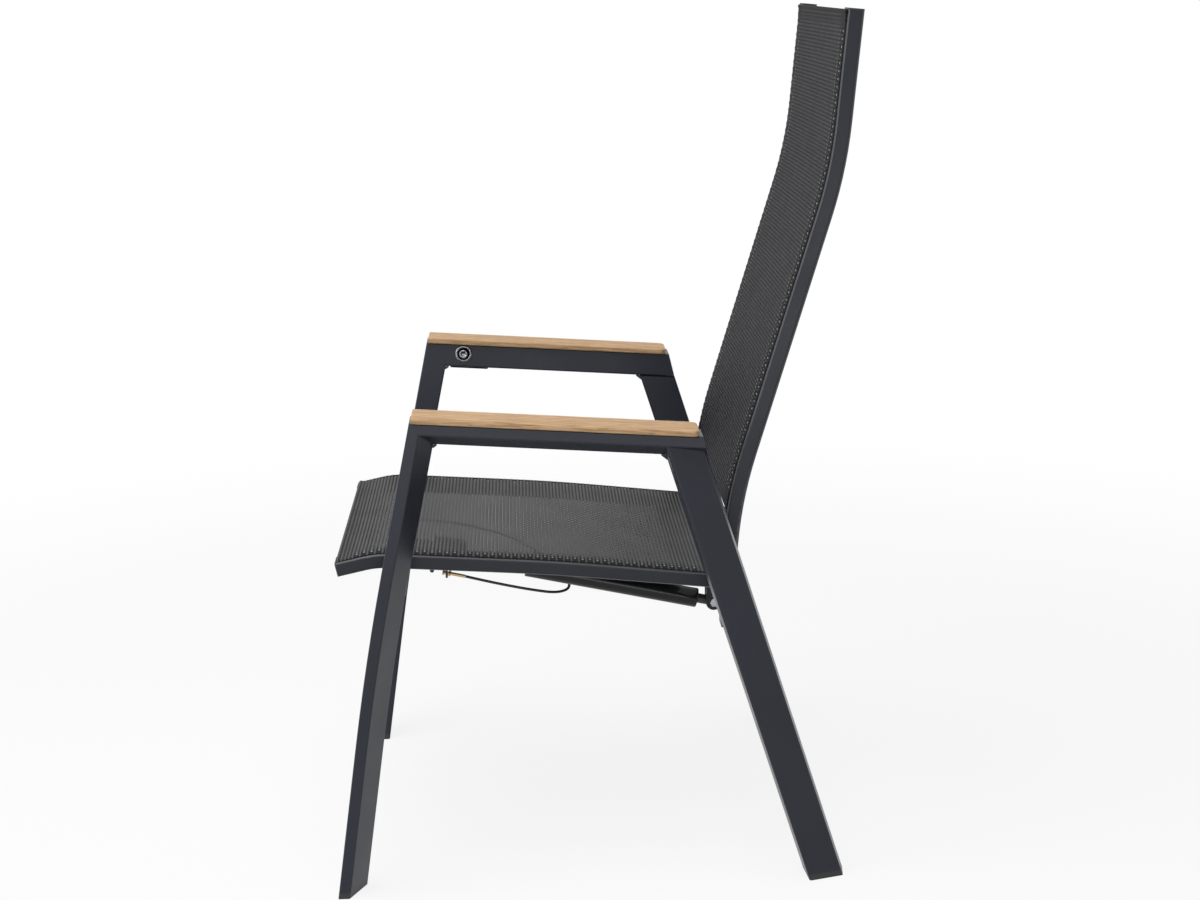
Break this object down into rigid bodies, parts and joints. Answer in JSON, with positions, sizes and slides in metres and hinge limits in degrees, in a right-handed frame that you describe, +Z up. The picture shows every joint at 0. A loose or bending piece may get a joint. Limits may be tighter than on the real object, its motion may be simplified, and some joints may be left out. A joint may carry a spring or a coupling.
{
  "type": "reclining garden armchair",
  "caption": "High-backed garden armchair with sling seat and back, teak armrests and a gas spring that lets the back recline while the seat slides forward.",
  "frame": {"origin": "on the floor, under the middle of the chair's outer box with the back upright", "axes": "+Z up, the chair faces -Y, +X is the sitter's left"},
  "size_m": [0.644, 0.7094, 1.14],
  "materials": {
    "frame_coat": "satin",
    "teak": "oiled",
    "sling_fabric": "woven coated yarn",
    "keder_cord": "matte",
    "black_plastic": "matte",
    "spring_black": "gloss",
    "chrome_rod": "polished",
    "cast_zinc": "satin",
    "brass_screw": "turned",
    "cable_sheath": "smooth",
    "button_chrome": "satin",
    "bright_steel": "zinc plated"
  },
  "bodies": {
    "root": {"left_front_leg": "frame_coat", "right_front_leg": "frame_coat", "left_arm_rail": "frame_coat", "right_arm_rail": "frame_coat", "left_rear_leg": "frame_coat", "right_rear_leg": "frame_coat", "left_armrest": "teak", "right_armrest": "teak", "left_front_foot": "black_plastic", "right_front_foot": "black_plastic", "left_rear_foot": "black_plastic", "right_rear_foot": "black_plastic", "left_arm_end_cap": "black_plastic", "right_arm_end_cap": "black_plastic", "left_seat_glide": "black_plastic", "right_seat_glide": "black_plastic", "left_pivot_spacer": "black_plastic", "right_pivot_spacer": "black_plastic", "left_pivot_stud": "bright_steel", "right_pivot_stud": "bright_steel", "front_cross_tube": "frame_coat", "rear_cross_tube": "frame_coat", "spring_front_bracket": "frame_coat", "spring_front_pin": "bright_steel", "button_housing": "button_chrome", "button_plate": "frame_coat", "cable_outlet": "black_plastic", "control_cable": "cable_sheath"},
    "back": {"left_back_rail": "frame_coat", "right_back_rail": "frame_coat", "left_back_keder": "keder_cord", "right_back_keder": "keder_cord", "left_seat_pivot_pin": "bright_steel", "right_seat_pivot_pin": "bright_steel", "back_sling": "sling_fabric", "back_top_bar": "frame_coat", "back_lower_bar": "frame_coat", "back_top_caps": "black_plastic", "back_foot_caps": "black_plastic", "spring_rear_bracket": "frame_coat", "spring_rear_bolt": "bright_steel"},
    "seat": {"left_seat_rail": "frame_coat", "right_seat_rail": "frame_coat", "left_seat_keder": "keder_cord", "right_seat_keder": "keder_cord", "left_seat_hinge_plate": "frame_coat", "right_seat_hinge_plate": "frame_coat", "seat_sling": "sling_fabric", "seat_front_bar": "frame_coat", "seat_rear_bar": "frame_coat", "seat_front_caps": "black_plastic", "seat_rear_caps": "black_plastic"},
    "spring_rod": {"spring_rod": "chrome_rod", "release_head": "cast_zinc", "lever_pin": "bright_steel", "cable_adjuster": "brass_screw"},
    "spring_cylinder": {"spring_cylinder": "spring_black", "spring_rear_eye": "cast_zinc"},
    "release_lever": {"release_lever": "cast_zinc"},
    "push_button": {"push_button": "button_chrome"}
  },
  "joints": [
    {"name": "recline", "type": "hinge", "parent": "root", "child": "back", "pos_m": [0, 0.1775, 0.43], "axis": [-1, 0, 0], "range_deg": [0, 28]},
    {"name": "seat_pivot", "type": "hinge", "parent": "back", "child": "seat", "pos_m": [0, 0.18, 0.3902], "axis": [-1, 0, 0], "range_deg": [-28, 0]},
    {"name": "spring_swing", "type": "hinge", "parent": "root", "child": "spring_rod", "pos_m": [0, -0.2135, 0.3855], "axis": [1, 0, 0], "range_deg": [0, 1]},
    {"name": "spring_stroke", "type": "slide", "parent": "spring_rod", "child": "spring_cylinder", "axis": [0, -0.9756, 0.2196], "range_m": [0, 0.064]},
    {"name": "button_press", "type": "slide", "parent": "root", "child": "push_button", "axis": [-1, 0, 0], "range_m": [0, 0.004], "stiffness_N_per_m": 600, "springref_m": -0.002},
    {"name": "lever_pull", "type": "hinge", "parent": "spring_rod", "child": "release_lever", "pos_m": [0, -0.222, 0.379], "axis": [1, 0, 0], "range_deg": [0, 8]}
  ],
  "couplings": [
    {"joint": "seat_pivot", "follows": "recline", "ratio": -1},
    {"joint": "spring_swing", "follows": "recline", "ratio": 0.01184},
    {"joint": "spring_stroke", "follows": "recline", "m_per_rad": 0.1305},
    {"joint": "lever_pull", "follows": "button_press", "rad_per_m": 34.9}
  ]
}
